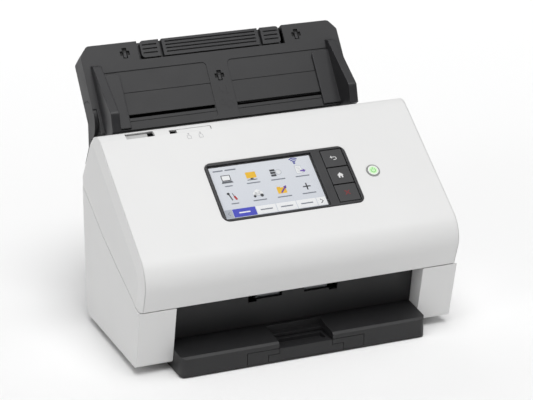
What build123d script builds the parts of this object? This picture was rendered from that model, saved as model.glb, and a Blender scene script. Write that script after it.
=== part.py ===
from build123d import *
import math
import os

os.makedirs("parts", exist_ok=True)

# All dimensions are in millimetres.  X runs across the machine, Y towards its rear, Z up.

# Body shell
HALF_WIDTH = 149.5
SKIN_HALF = 146.2
WALL = 2.5
SIDE_WALL = 3.0
POST_INNER = 116.3
POST_TOP = 64.0
FACE_FOOT = (-79.0, 4.0)
POST_FOOT = (-87.2, 7.5)
POST_HEAD_ROUND = 1.6
NOSE = (-112.0, 99.0)
NOSE_ROUND = 26.0
RIDGE = (15.3, 190.8)
RIDGE_ROUND = 15.0
COVER_HEEL = (49.0, 139.0)
REAR_Y = 47.0
BASE_Z = 7.5
FRONT_FOOT_ROUND = 5.0
REAR_FOOT_ROUND = 8.0
BAND_DROP = 2.6
FRONT_BAND = 11.0
REAR_BAND = 3.0
BAND_ROUNDS = (2.0, 15.0, 6.0, 5.0)
PARTING = [(-82.1, 68.5), (-48.8, 81.7), (-6.0, 99.9), (REAR_Y, 129.3)]
PARTING_GAP = 0.9

# Front cover hinge
COVER_AXIS = (-95.8, 69.0)
LIP_RADIUS = 6.7
RELIEF_RADIUS = 7.2
COVER_PIN_R = 1.5
COVER_LUG_R = 2.5
COVER_LUG_X = (120.0, 124.0)
COVER_EAR_R = 4.2
COVER_EAR_X = (124.4, 128.4)
RUN_GAP = 0.05

# Base
BOARD_Z = 20.0
MOTOR_SPOT = (20.0, 62.0)
SOCKETS = {"power": (-88.0, 30.0), "usb": (-60.0, 30.0)}
SOCKET_SIZE = (13.0, 12.6)
SOCKET_Y = (92.0, 107.6)
FOOT_R = 7.0

# Control panel, laid out on the sloping top
SLOPE_ORIGIN = (0, 0, 179.8)
SLOPE_DEG = 35.8
BEZEL_X = (-63.5, 70.0)
BEZEL_T = (-94.3, -32.5)
BEZEL_ROUND = 6.5
BEZEL_N = (-4.5, 0.6)
DISPLAY_CENTRE = (-12.0, -64.0)
DISPLAY_SIZE = (95.04, 53.86)
BUTTON_X = (46.5, 66.5)
BUTTON_T = {"back": (-53.6, -35.7), "home": (-72.2, -54.8), "stop": (-91.0, -73.4)}
BUTTON_N = (-4.0, 0.45)
POWER_CENTRE = (88.5, -63.3)
POWER_R = 5.0
RING_R = (5.3, 6.3)
LEVER_TOP = -4.2

# Paper path between the two guide plates
PATH_START = (46.0, 136.0)
PATH_END = (-78.0, 57.5)
PLATE = 2.0
PAPER_GAP = 1.6
GUIDE_HALF = 115.9
SEPARATION_Q = 14.0
FEED_Q = 40.0
SCAN_Q = 85.0
EXIT_Q = 140.0
DRIVE_R = 8.0
SHAFT_R = 2.5
PINCH_R = 6.0
PINCH_AXLE_R = 2.0
PULLEY_R = 3.8
BELT = 1.1
SCAN_HALF = 109.0

# Document tray, opened back
TRAY_ORIGIN = (0, 68.1, 167.3)
TRAY_DEG = 53.6
TRAY_HALF = 127.0
TRAY_TOP = 84.5
TRAY_DEPTH = 22.5
TRAY_FOOT = 0.5
CORNER_ROUND = 5.0
RECESS_ROUND = 4.0
PLATE_T = 3.0
HINGE_S = 20.0
HINGE_H = -17.0
ARM_X = (123.5, 126.9)
ARM_R = 17.0
ARM_STEM_Y = (88.0, 97.0)
TRAY_PIN_R = 2.5
NOTCH_HALF = 72.0
NOTCH_S = 66.4
GRIP_S = 68.0
GROOVE = 1.2
SLOT_S = (11.8, 15.0)
TONGUE_S = (12.0, 13.9)
GUIDE_X = (112.0, 120.0)
GUIDE_SWEEP = 48.6
GUIDE_FOOT_S = -6.5
PINION_S = 24.0
MODULE = 1.0
PINION_TEETH = 12
ADDENDUM = 0.7
DEDENDUM = 0.95
BACKLASH = 0.35
RACK_END = -8.0
RACK_TEETH = 33

# Output tray
OUT_HALF = 115.9
OUT_FRONT = -107.5
OUT_BACK = -67.5
OUT_Z = 1.0
OUT_ROUND = 5.5

# Rear housing
HOUSE_HALF = 127.0
HOUSE_Y = (49.8, 108.0)
HOUSE_TOP = 146.0
HOUSE_SHOULDER = 128.0
HOUSE_WALL = 2.2


def slope_frame():
    lean = math.radians(SLOPE_DEG)
    return Plane(origin=SLOPE_ORIGIN, x_dir=(1, 0, 0), z_dir=(0, -math.sin(lean), math.cos(lean)))


def tray_frame():
    lean = math.radians(TRAY_DEG)
    return Plane(origin=TRAY_ORIGIN, x_dir=(1, 0, 0), z_dir=(0, -math.sin(lean), math.cos(lean)))


def path_frame():
    run = PATH_START[0] - PATH_END[0]
    fall = PATH_START[1] - PATH_END[1]
    return Plane(origin=(0, *PATH_START), x_dir=(1, 0, 0), z_dir=(0, -fall, run))


def face_frame():
    run = FACE_FOOT[0] - NOSE[0]
    rise = NOSE[1] - FACE_FOOT[1]
    return Plane(origin=(0, *FACE_FOOT), x_dir=(1, 0, 0), z_dir=(0, -rise, -run))


SLOPE = slope_frame()
TRAY = tray_frame()
PATH = path_frame()
FACE = face_frame()


def path_length():
    return math.dist(PATH_START, PATH_END)


def path_point(q, n):
    """Point of the side view at distance q down the paper path and n above the lower guide."""
    spot = PATH.from_local_coords(Vector(0, -q, n))
    return (spot.Y, spot.Z)


def tray_point(s, h):
    spot = TRAY.from_local_coords(Vector(0, s, h))
    return (spot.Y, spot.Z)


def face_y(z):
    """Y of the undercut front face at height z."""
    share = (z - FACE_FOOT[1]) / (NOSE[1] - FACE_FOOT[1])
    return FACE_FOOT[0] + share * (NOSE[0] - FACE_FOOT[0])


def block(x, y, z, frame=Plane.XY):
    """Box between the given pairs of coordinates of a frame."""
    size = [b - a for a, b in (x, y, z)]
    centre = [(a + b) / 2 for a, b in (x, y, z)]
    return frame * Pos(*centre) * Box(*size)


def region(*points):
    """Filled polygon, wound the same way round whatever the order of its corners."""
    turns = zip(points, points[1:] + points[:1])
    area = sum(a[0] * b[1] - b[0] * a[1] for a, b in turns)
    corners = points if area > 0 else tuple(reversed(points))
    return Polygon(*corners, align=None)


def prism(outline, x):
    """Side-view outline extruded between two X positions."""
    return extrude(Plane.YZ.offset(x[0]) * outline, amount=x[1] - x[0], dir=(1, 0, 0))


def rod(radius, x, spot):
    """Cylinder along X through a point of the side view."""
    return prism(Pos(*spot) * Circle(radius), x)


def corner_round(outline, spot, radius):
    near = [v for v in outline.vertices() if math.dist((v.X, v.Y), spot) < 0.05]
    return fillet(near, radius)


def both_sides(part):
    return part + mirror(part, about=Plane.YZ)


def ahead_of_face():
    """Region of the side view in front of the undercut front face."""
    top = 90.0
    low = 20.0
    return region((face_y(low), low), (face_y(top), top), (-160.0, top), (-160.0, low))


def base_outline():
    head = (face_y(POST_TOP), POST_TOP)
    outline = region(POST_FOOT, head, (-91.2, 63.3), *PARTING, (REAR_Y, BASE_Z))
    outline = corner_round(outline, POST_FOOT, FRONT_FOOT_ROUND)
    outline = corner_round(outline, head, POST_HEAD_ROUND)
    outline = corner_round(outline, (REAR_Y, BASE_Z), REAR_FOOT_ROUND)
    return outline - Pos(*COVER_AXIS) * Circle(RELIEF_RADIUS)


def cover_outline():
    lower = [(y, z + PARTING_GAP) for y, z in reversed(PARTING)]
    rim = [RIDGE, COVER_HEEL, (REAR_Y, COVER_HEEL[1] - 2)]
    outline = region(NOSE, *rim, *lower, (-91.2, 64.2), (face_y(64.2), 64.2))
    outline = corner_round(outline, NOSE, NOSE_ROUND)
    outline = corner_round(outline, RIDGE, RIDGE_ROUND)
    outline += Pos(*COVER_AXIS) * Circle(LIP_RADIUS)
    return outline - ahead_of_face()


def inset_corners(points, insets):
    """Corners of the outline whose edge k, from point k to the next, has moved in by insets[k]."""
    lines = []
    for a, b, inset in zip(points, points[1:] + points[:1], insets):
        run = math.dist(a, b)
        step = ((b[0] - a[0]) / run, (b[1] - a[1]) / run)
        lines.append(((a[0] + step[1] * inset, a[1] - step[0] * inset), step))
    corners = []
    for (p, u), (q, w) in zip(lines[-1:] + lines[:-1], lines):
        cross = u[0] * w[1] - u[1] * w[0]
        along = ((q[0] - p[0]) * w[1] - (q[1] - p[1]) * w[0]) / cross
        corners.append((p[0] + along * u[0], p[1] + along * u[1]))
    return corners


def rounded_side(points, radii):
    """Side view with its foot, nose, ridge and rear foot rounded."""
    outline = region(*points)
    for k, radius in zip((0, 2, 3, 5), radii):
        outline = corner_round(outline, points[k], radius)
    return outline


def side_envelope():
    """Whole right side, its outer face drawn in by a sloping band along the outline."""
    head = (face_y(POST_TOP), POST_TOP)
    points = [POST_FOOT, head, NOSE, RIDGE, COVER_HEEL, (REAR_Y, BASE_Z)]
    insets = [FRONT_BAND, FRONT_BAND, FRONT_BAND, REAR_BAND, REAR_BAND, REAR_BAND]
    rounds = (FRONT_FOOT_ROUND, NOSE_ROUND, RIDGE_ROUND, REAR_FOOT_ROUND)
    outer = rounded_side(points, rounds)
    inner = rounded_side(inset_corners(points, insets), BAND_ROUNDS)
    edge = HALF_WIDTH - BAND_DROP
    band = loft([Plane.YZ.offset(edge) * outer, Plane.YZ.offset(HALF_WIDTH) * inner], ruled=True)
    return prism(outer, (POST_INNER - 1, edge)) + band


def side_cover():
    """Right side of the base with its front post, open towards the middle."""
    outline = base_outline()
    shell = prism(outline, (POST_INNER, HALF_WIDTH))
    inner = offset(outline, amount=-WALL, kind=Kind.INTERSECTION)
    behind_post = inner & Pos(60, 80) * Rectangle(252, 300)
    shell -= prism(inner, (POST_INNER + WALL, HALF_WIDTH - SIDE_WALL))
    shell -= prism(behind_post, (POST_INNER - 1, POST_INNER + WALL + 1))
    shell &= side_envelope()
    foot = (-86.5, 62.0)
    lug = Pos(*COVER_AXIS) * Circle(COVER_LUG_R) + Pos(*foot) * Circle(COVER_LUG_R)
    arm = math.degrees(math.atan2(foot[1] - COVER_AXIS[1], foot[0] - COVER_AXIS[0]))
    middle = ((foot[0] + COVER_AXIS[0]) / 2, (foot[1] + COVER_AXIS[1]) / 2)
    lug += Pos(*middle) * Rot(0, 0, arm) * Rectangle(math.dist(foot, COVER_AXIS), 2 * COVER_LUG_R)
    shell += prism(lug, COVER_LUG_X)
    return shell - rod(COVER_PIN_R, (COVER_LUG_X[0] - 1, COVER_LUG_X[1] + 1), COVER_AXIS)


def cover_pin():
    return rod(COVER_PIN_R, (COVER_LUG_X[0] + 0.3, COVER_EAR_X[1] - 0.2), COVER_AXIS)


def cover_side():
    """Right side panel of the front cover with the flange that closes the cover underneath."""
    outline = cover_outline()
    panel = prism(outline, (SKIN_HALF + 0.2, HALF_WIDTH))
    line = [(y, z + PARTING_GAP) for y, z in PARTING]
    top = [(y, z + 2.2) for y, z in reversed(line)]
    flange = region(*line, *top)
    panel += prism(flange, (POST_INNER + 0.4, SKIN_HALF + 0.3))
    return panel & side_envelope()


def selector_slot():
    return block((-82.0, -43.0), (4.0, 8.5), (-8, 6), SLOPE)


def lever_scoop():
    return block((-122.0, -96.0), (4.0, 11.0), (-10, 6), SLOPE)


def cover_skin():
    """Top, front and hopper side of the cover as one wrapped skin."""
    outline = cover_outline()
    inner = offset(outline, amount=-WALL, kind=Kind.INTERSECTION)
    open_floor = region((-93.0, 65.5), (-93.0, 40.0), (70.0, 40.0), (70.0, 157.0))
    skin = prism(outline - inner - open_floor, (-SKIN_HALF, SKIN_HALF))
    ear = Pos(*COVER_AXIS) * Circle(COVER_EAR_R) - ahead_of_face()
    skin += both_sides(prism(ear, COVER_EAR_X))
    wide = (BEZEL_X[1] - BEZEL_X[0] + 0.5, BEZEL_T[1] - BEZEL_T[0] + 0.5)
    middle = ((BEZEL_X[0] + BEZEL_X[1]) / 2, (BEZEL_T[0] + BEZEL_T[1]) / 2)
    window = SLOPE.offset(-10) * Pos(*middle) * RectangleRounded(*wide, BEZEL_ROUND + 0.25)
    skin -= extrude(window, amount=20, dir=SLOPE.z_dir)
    skin -= SLOPE * Pos(*POWER_CENTRE, 0) * Cylinder(RING_R[1] + 0.1, 20)
    skin -= selector_slot()
    skin -= lever_scoop()
    skin -= both_sides(block((COVER_LUG_X[0] - 0.4, COVER_EAR_X[0] - 0.1), (-98.6, -88), (58, 70)))
    reach = (COVER_EAR_X[0] - 1, COVER_EAR_X[1] + 1)
    return skin - both_sides(rod(COVER_PIN_R + RUN_GAP, reach, COVER_AXIS))


def base_pan():
    pan = block((-GUIDE_HALF, GUIDE_HALF), (-66, 49.4), (BASE_Z, BASE_Z + 2.4))
    pan -= block((-58.6, 58.6), (-80, 23), (0, 20))
    for x in (66, 102):
        for y in (-44, 38):
            pan += Pos(x, y, (BASE_Z + BOARD_Z) / 2) * Cylinder(3, BOARD_Z - BASE_Z)
    for x in (-94, -74):
        pan += block((x - 2, x + 2), (8, 32), (BASE_Z, 56))
    return pan - rod(14.1, (-104, -66), MOTOR_SPOT)


def main_board():
    board = block((60.5, 108), (-50, 44), (BOARD_Z, BOARD_Z + 1.6))
    board += block((70, 84), (-20, -6), (21.6, 24))
    board += block((88, 98), (0, 10), (21.6, 25))
    return board + block((66, 100), (20, 28), (21.6, 30))


def feed_motor():
    can = rod(14, (-101, -66), MOTOR_SPOT)
    return can - rod(1.6, (-103, -90), MOTOR_SPOT)


def motor_pulley():
    return rod(PULLEY_R, (-110, -106), MOTOR_SPOT) + rod(1.5, (-106, -92), MOTOR_SPOT)


def belt_between(a, b, x):
    turn = math.degrees(math.atan2(b[1] - a[1], b[0] - a[0]))
    middle = ((a[0] + b[0]) / 2, (a[1] + b[1]) / 2)
    inside = PULLEY_R + 0.05
    place = Pos(*middle) * Rot(0, 0, turn)
    loop = place * SlotCenterToCenter(math.dist(a, b), 2 * (inside + BELT))
    return prism(loop - place * SlotCenterToCenter(math.dist(a, b), 2 * inside), x)


def roller_window(q, half, x, z):
    return block(x, (-q - half, -q + half), z, PATH)


def shaft_lug(q, n, x, down):
    """Bearing lug below (down) or above the paper path for a shaft at q, n."""
    reach = (n - 5, -PLATE + 0.2) if down else (PAPER_GAP + PLATE - 0.2, n + 5)
    return both_sides(block(x, (-q - 5, -q + 5), reach, PATH))


def drive_n(radius):
    return 0.65 - radius


def pinch_n(radius):
    return 0.95 + radius


def lower_guide():
    length = path_length()
    plate = block((-GUIDE_HALF, GUIDE_HALF), (-length, 0), (-PLATE, 0), PATH)
    skirt = block((114.7, GUIDE_HALF), (-130, -8), (-12, -PLATE + 0.1), PATH)
    plate += both_sides(skirt)
    plate += shaft_lug(FEED_Q, drive_n(DRIVE_R), (98, 101), True)
    plate += shaft_lug(EXIT_Q, drive_n(DRIVE_R), (98, 101), True)
    plate += shaft_lug(SEPARATION_Q, drive_n(11), (24, 27), True)
    through = (-PLATE - 1, 1)
    plate -= both_sides(roller_window(FEED_Q, 6.6, (17, 35), through))
    plate -= both_sides(roller_window(EXIT_Q + 2, 8.4, (10, 35), through))
    plate -= roller_window(SEPARATION_Q, 9.0, (-21, 21), through)
    plate -= roller_window(SCAN_Q, 9.3, (-SCAN_HALF - 0.3, SCAN_HALF + 0.3), through)
    reach = (-110, 110)
    plate -= rod(SHAFT_R + RUN_GAP, reach, path_point(FEED_Q, drive_n(DRIVE_R)))
    plate -= rod(SHAFT_R + RUN_GAP, reach, path_point(EXIT_Q, drive_n(DRIVE_R)))
    return plate - rod(SHAFT_R + RUN_GAP, (-30, 30), path_point(SEPARATION_Q, drive_n(11)))


def drive_shaft(q, pulley_x):
    """Shaft that carries the two driven rollers at q, with its belt pulley."""
    spot = path_point(q, drive_n(DRIVE_R))
    return rod(SHAFT_R, (-114.2, 108), spot) + rod(PULLEY_R, pulley_x, spot)


def drive_roller(q, x):
    spot = path_point(q, drive_n(DRIVE_R))
    return rod(DRIVE_R, x, spot) - rod(SHAFT_R, (x[0] - 1, x[1] + 1), spot)


def separation_roller():
    spot = path_point(SEPARATION_Q, drive_n(11))
    return rod(11, (-20, 20), spot) + rod(SHAFT_R, (-28, 28), spot)


def lower_scan_unit():
    unit = block((-SCAN_HALF - 1, SCAN_HALF + 1), (-SCAN_Q - 10.5, -SCAN_Q + 10.5), (-16, -2.2), PATH)
    return unit - block((-SCAN_HALF + 4, SCAN_HALF - 4), (-SCAN_Q - 5, -SCAN_Q + 5), (-12, 0), PATH)


def scan_glass(n):
    return block((-SCAN_HALF, SCAN_HALF), (-SCAN_Q - 9, -SCAN_Q + 9), n, PATH)


def upper_scan_unit():
    unit = block((-SCAN_HALF - 1, SCAN_HALF + 1), (-SCAN_Q - 10.5, -SCAN_Q + 10.5), (3.8, 17), PATH)
    return unit - block((-SCAN_HALF + 4, SCAN_HALF - 4), (-SCAN_Q - 5, -SCAN_Q + 5), (2, 13), PATH)


def upper_guide():
    """Guide plate under the cover, turned up at the front to meet the lip."""
    top = PAPER_GAP + PLATE
    plate = block((-GUIDE_HALF, GUIDE_HALF), (-150, -3), (PAPER_GAP, top), PATH)
    low = path_point(150, PAPER_GAP)
    fascia = region(low, (-91.0, 64.4), (-89.2, 65.8), path_point(148.5, top))
    plate += prism(fascia, (-GUIDE_HALF, GUIDE_HALF))
    plate += shaft_lug(FEED_Q, pinch_n(PINCH_R), (38, 41), False)
    plate += shaft_lug(EXIT_Q, pinch_n(PINCH_R), (38, 41), False)
    plate += shaft_lug(SEPARATION_Q, pinch_n(9), (21, 24), False)
    through = (PAPER_GAP - 1, top + 1)
    plate -= both_sides(roller_window(FEED_Q, 5.6, (17, 35), through))
    plate -= both_sides(roller_window(EXIT_Q, 5.6, (17, 35), through))
    plate -= roller_window(SEPARATION_Q, 8.2, (-19, 19), through)
    plate -= roller_window(SCAN_Q, 9.3, (-SCAN_HALF - 0.3, SCAN_HALF + 0.3), through)
    plate -= rod(PINCH_AXLE_R + RUN_GAP, (-44, 44), path_point(FEED_Q, pinch_n(PINCH_R)))
    plate -= rod(PINCH_AXLE_R + RUN_GAP, (-44, 44), path_point(EXIT_Q, pinch_n(PINCH_R)))
    return plate - rod(PINCH_AXLE_R + RUN_GAP, (-26, 26), path_point(SEPARATION_Q, pinch_n(9)))


def pinch_rollers(q):
    spot = path_point(q, pinch_n(PINCH_R))
    return rod(PINCH_AXLE_R, (-43, 43), spot) + both_sides(rod(PINCH_R, (18, 34), spot))


def pickup_roller():
    spot = path_point(SEPARATION_Q, pinch_n(9))
    return rod(9, (-18, 18), spot) + rod(PINCH_AXLE_R, (-25, 25), spot)


def bezel_centre():
    return ((BEZEL_X[0] + BEZEL_X[1]) / 2, (BEZEL_T[0] + BEZEL_T[1]) / 2)


def panel_bezel():
    size = (BEZEL_X[1] - BEZEL_X[0], BEZEL_T[1] - BEZEL_T[0])
    outline = SLOPE.offset(BEZEL_N[0]) * Pos(*bezel_centre()) * RectangleRounded(*size, BEZEL_ROUND)
    plate = extrude(outline, amount=BEZEL_N[1] - BEZEL_N[0], dir=SLOPE.z_dir)
    plate = chamfer(top_rim(plate), 0.5)
    spot = Pos(*DISPLAY_CENTRE, 0)
    plate -= SLOPE * spot * Box(DISPLAY_SIZE[0] + 0.6, DISPLAY_SIZE[1] + 0.6, 12)
    plate -= SLOPE * spot * Pos(0, 0, 0.5) * Box(DISPLAY_SIZE[0] + 3.2, DISPLAY_SIZE[1] + 3.2, 3)
    well_t = (BUTTON_T["stop"][0] - 0.8, BUTTON_T["back"][1] + 0.8)
    return plate - block((BUTTON_X[0] - 0.8, BUTTON_X[1] + 0.8), well_t, (-9, 5), SLOPE)


def top_rim(plate):
    level = BEZEL_N[1]

    def on_top(edge):
        return abs(SLOPE.to_local_coords(edge.center()).Z - level) < 0.01

    return plate.edges().filter_by(on_top)


def display_window():
    size = (DISPLAY_SIZE[0] + 2.8, DISPLAY_SIZE[1] + 2.8, 1.3)
    return SLOPE * Pos(*DISPLAY_CENTRE, -0.2) * Box(*size)


def lcd_module():
    return SLOPE * Pos(*DISPLAY_CENTRE, -2.8) * Box(DISPLAY_SIZE[0] + 0.2, DISPLAY_SIZE[1] + 0.2, 3.2)


def panel_button(name):
    return block(BUTTON_X, BUTTON_T[name], BUTTON_N, SLOPE)


def power_button():
    return SLOPE * Pos(*POWER_CENTRE, -2.1) * Cylinder(POWER_R, 5.6)


def power_ring():
    ring = SLOPE * Pos(*POWER_CENTRE, -1.1) * Cylinder(RING_R[1], 3.0)
    return ring - SLOPE * Pos(*POWER_CENTRE, -1.1) * Cylinder(RING_R[0], 4.0)


def release_lever():
    lever = block((-121.6, -101.0), (4.4, 10.6), (-9.0, LEVER_TOP), SLOPE)
    return lever + block((-119, -103), (5, 10), (-12, -8.8), SLOPE)


def feed_selector():
    tab = block((-75.0, -43.4), (4.3, 8.2), (-6.0, -1.2), SLOPE)
    return tab + block((-70, -50), (3.0, 9.4), (-7.5, -5.8), SLOPE)


def output_tray():
    """Fixed lower tray with the sleeve its two extensions slide in."""
    top = [(OUT_FRONT + 2, 19.4), (-75.5, 22.6), (OUT_BACK, 22.6)]
    low = [(OUT_BACK, OUT_Z), (OUT_FRONT + 1, OUT_Z), (OUT_FRONT, OUT_Z + 1)]
    outline = region(*low, (OUT_FRONT, 17.4), *top)
    tray = prism(outline, (-OUT_HALF, OUT_HALF))
    ends = tray.edges().filter_by(Axis.Z).filter_by(lambda e: e.center().Y < OUT_FRONT + 0.1)
    tray = fillet(ends, OUT_ROUND)
    tray += block((-58, 58), (OUT_BACK - 8, 22), (OUT_Z, 16))
    for side in (-1, 1):
        tray -= block((side * 86 - 26, side * 86 + 26), (-103.5, -70), (-1, 16.4))
    tray -= block((-55.6, 55.6), (-110, 20), (OUT_Z + 1.3, 13.7))
    tray -= block((-25.5, 25.5), (-110, -84), (13.5, 30))
    return tray - block((-25.5, 25.5), (-84.1, -77.5), (16.4, 30))


def output_middle():
    piece = block((-55.1, 55.1), (OUT_FRONT, -12), (2.5, 13.2))
    piece -= block((-35.8, 35.8), (-110, -14), (3.6, 8.8))
    piece -= block((-25.3, 25.3), (-110, -14), (8.7, 15))
    piece -= block((-35.8, 35.8), (-110, -104), (1, 8.8))
    for side in (-1, 1):
        piece -= block((side * 45.5 - 7.5, side * 45.5 + 7.5), (-104, -15), (1, 11.6))
    return piece


def output_inner():
    piece = block((-35.3, 35.3), (OUT_FRONT, -20), (3.9, 8.4))
    piece += block((-35.3, 35.3), (OUT_FRONT, -104.3), (2.5, 8.4))
    piece += block((-24.8, 24.8), (OUT_FRONT, -20), (8.3, 13.1))
    piece -= block((-22, 22), (-100, -88), (9.6, 14))
    return piece - block((-22, 22), (-84, -24), (3, 11.2))


def exit_wall():
    front = [(-74.0, 22.9), (-79.0, 54.5)]
    back = [(-76.6, 54.5), (-71.6, 22.9)]
    wall = prism(region(*front, *back), (-GUIDE_HALF, GUIDE_HALF))
    wall -= both_sides(block((10.5, 34.5), (-90, -60), (49.6, 60)))
    return wall - both_sides(block((34.4, 42.5), (-90, -60), (47.6, 60)))


def hopper_floor():
    floor = block((-111.4, 111.4), (-35.5, -6.5), (-2.2, 0), TRAY)
    return floor


def house_outline():
    under = 2.4
    crest = tray_point(-10.0, -under)
    low = (HOUSE_Y[0], tray_point(-34.4, -under)[1])
    rear = [(HOUSE_Y[1], BASE_Z), (HOUSE_Y[1], HOUSE_SHOULDER), (97.0, HOUSE_TOP), (84.0, HOUSE_TOP)]
    return region((HOUSE_Y[0], BASE_Z), *rear, crest, low)


def rear_housing():
    """Dark rear part of the base that carries the tray hinge arms and the sockets."""
    outline = house_outline()
    inner = offset(outline, amount=-HOUSE_WALL, kind=Kind.INTERSECTION)
    house = prism(outline, (-HOUSE_HALF, HOUSE_HALF))
    house -= prism(inner, (-HOUSE_HALF + HOUSE_WALL, HOUSE_HALF - HOUSE_WALL))
    house -= block((-108, 108), (40, 56), (8, 128))
    hinge = tray_point(HINGE_S, HINGE_H)
    house -= both_sides(rod(GUIDE_SWEEP, (111.6, 120.6), hinge))
    disc = rod(ARM_R, ARM_X, hinge) - block((120, 130), (-40, 90), (-60, -TRAY_DEPTH), TRAY)
    stem = block(ARM_X, ARM_STEM_Y, (HOUSE_TOP - 4, hinge[1]))
    house += both_sides(disc + stem)
    house -= both_sides(rod(TRAY_PIN_R, (ARM_X[0] - 1, ARM_X[1] + 1), hinge))
    for x, z in SOCKETS.values():
        house -= Pos(x, HOUSE_Y[1], z) * Box(SOCKET_SIZE[0] + 0.3, 10, SOCKET_SIZE[1] + 0.3)
    return house


def socket_body(name):
    x, z = SOCKETS[name]
    half = (SOCKET_SIZE[0] / 2, SOCKET_SIZE[1] / 2)
    return block((x - half[0], x + half[0]), SOCKET_Y, (z - half[1], z + half[1]))


def power_jack():
    x, z = SOCKETS["power"]
    hole = Pos(x, SOCKET_Y[1], z) * Rot(90, 0, 0) * Cylinder(3.2, 20)
    pin = Pos(x, SOCKET_Y[0] + 4, z) * Rot(90, 0, 0) * Cylinder(0.9, 5)
    return socket_body("power") - hole + pin


def usb_port():
    x, z = SOCKETS["usb"]
    body = socket_body("usb") - Pos(x, SOCKET_Y[1], z) * Box(8.5, 22, 7.8)
    return body + Pos(x, SOCKET_Y[1] - 6, z) * Box(5.6, 10, 3.2)


def rubber_foot(x, y):
    return Pos(x, y, BASE_Z / 2) * Cylinder(FOOT_R, BASE_Z)


def tray_pin():
    return rod(TRAY_PIN_R, (117.8, ARM_X[1] - 0.1), tray_point(HINGE_S, HINGE_H))


def arm_recess():
    """Room in the side of the tray for the fixed hinge arm."""
    hinge = tray_point(HINGE_S, HINGE_H)
    recess = rod(ARM_R + 0.4, (ARM_X[0] - 0.3, TRAY_HALF + 1), hinge)
    return both_sides(recess + block((ARM_X[0] - 0.3, TRAY_HALF + 1), (-5, HINGE_S + 2.5), (-30, 5), TRAY))


def corner_cut():
    side = TRAY_HALF + 1
    wedge = region((side, TRAY_TOP - 10.5), (side, TRAY_TOP + 1), (TRAY_HALF - 8, TRAY_TOP + 1))
    return both_sides(extrude(TRAY.offset(-30) * wedge, amount=40, dir=TRAY.z_dir))


def round_top_corners(slab):
    """Blend the two cut corners at the top of a tray slab into its edges."""
    def at_corner(edge):
        spot = TRAY.to_local_coords(edge.center())
        return abs(spot.X) > TRAY_HALF - 10 and spot.Y > TRAY_TOP - 16

    upright = slab.edges().filter_by(Axis(origin=(0, 0, 0), direction=TRAY.z_dir))
    return fillet(upright.filter_by(at_corner), CORNER_ROUND)


def tray_plate():
    plate = block((-TRAY_HALF, TRAY_HALF), (TRAY_FOOT, TRAY_TOP), (-PLATE_T, 0), TRAY)
    plate = round_top_corners(plate - corner_cut())
    plate -= arm_recess()
    plate -= block((-NOTCH_HALF, NOTCH_HALF), (NOTCH_S, TRAY_TOP + 1), (-5, 2), TRAY)
    recess = Pos(64.0, 29.3) * RectangleRounded(107.0, 55.4, RECESS_ROUND)
    plate -= both_sides(extrude(TRAY.offset(-0.7) * recess, amount=3, dir=TRAY.z_dir))
    plate -= both_sides(block((11, 111.6), SLOT_S, (-5, 2), TRAY))
    for s in (8.6, 36.0):
        plate -= both_sides(block((10.5, 110), (s - 0.2, s + 0.2), (-1.1, 0), TRAY))
    for x, s in ((-85, 74), (85, 74), (0, 42.4)):
        plate -= block((x - 4.5, x + 4.5), (s - 2, s + 2), (-1.6, 2), TRAY)
        plate -= block((x - 2.2, x + 2.2), (s - 5, s + 5), (-1.6, 2), TRAY)
    return plate


def tray_shell():
    deep = -TRAY_DEPTH
    shell = block((-TRAY_HALF, TRAY_HALF), (5, TRAY_TOP), (deep, -PLATE_T), TRAY)
    shell = round_top_corners(shell - corner_cut())
    shell -= block((-120.8, 120.8), (7.2, 80.5), (deep + 2.2, 0), TRAY)
    shell -= block((-124.8, 124.8), (44, 70), (deep + 2.2, 0), TRAY)
    shell -= block((-NOTCH_HALF, NOTCH_HALF), (60, TRAY_TOP + 1), (-8.4, 2), TRAY)
    shell -= arm_recess()
    hinge = tray_point(HINGE_S, HINGE_H)
    shell += both_sides(rod(5.5, (117.5, ARM_X[0] - 0.3), hinge))
    shell -= both_sides(rod(TRAY_PIN_R + RUN_GAP, (116, ARM_X[0] + 1), hinge))
    shell += TRAY * Pos(0, PINION_S, (deep - 6.6) / 2) * Cylinder(3.2, TRAY_DEPTH - 6.6)
    return shell + TRAY * Pos(0, PINION_S, (deep - 3.8) / 2) * Cylinder(1.8, TRAY_DEPTH - 3.8)


def tooth(width, addendum, dedendum):
    """Straight-sided tooth along +Y, its pitch line at Y 0."""
    draft = math.tan(math.radians(20))
    tip = width / 2 - addendum * draft
    root = width / 2 + dedendum * draft
    return region((-root, -dedendum), (root, -dedendum), (tip, addendum), (-tip, addendum))


def guide_pinion():
    pitch_r = MODULE * PINION_TEETH / 2
    width = math.pi * MODULE / 2 - BACKLASH
    wheel = Circle(pitch_r - DEDENDUM)
    for k in range(PINION_TEETH):
        turn = 360.0 * k / PINION_TEETH
        wheel += Rot(0, 0, turn) * Pos(0, pitch_r) * tooth(width, ADDENDUM, DEDENDUM + 0.3)
    wheel -= Circle(1.8 + RUN_GAP)
    return extrude(TRAY.offset(-6.2) * Pos(0, PINION_S) * wheel, amount=2.8, dir=TRAY.z_dir)


def rack(pitch_s, toward):
    """Toothed bar behind the tray plate for the right guide; toward is +1 for teeth facing +s."""
    pitch = math.pi * MODULE
    width = pitch / 2 - BACKLASH
    bar_far = pitch_s - toward * 3.9
    bar_near = pitch_s - toward * DEDENDUM
    bar = block((RACK_END, 110), sorted((bar_far, bar_near)), (-6.3, -3.3), TRAY)
    profile = Rot(0, 0, 0 if toward > 0 else 180) * tooth(width, ADDENDUM, DEDENDUM + 0.2)
    for k in range(RACK_TEETH):
        spot = Pos((k - 1.5) * pitch, pitch_s)
        bar += extrude(TRAY.offset(-6.3) * spot * profile, amount=3.0, dir=TRAY.z_dir)
    return bar


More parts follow.
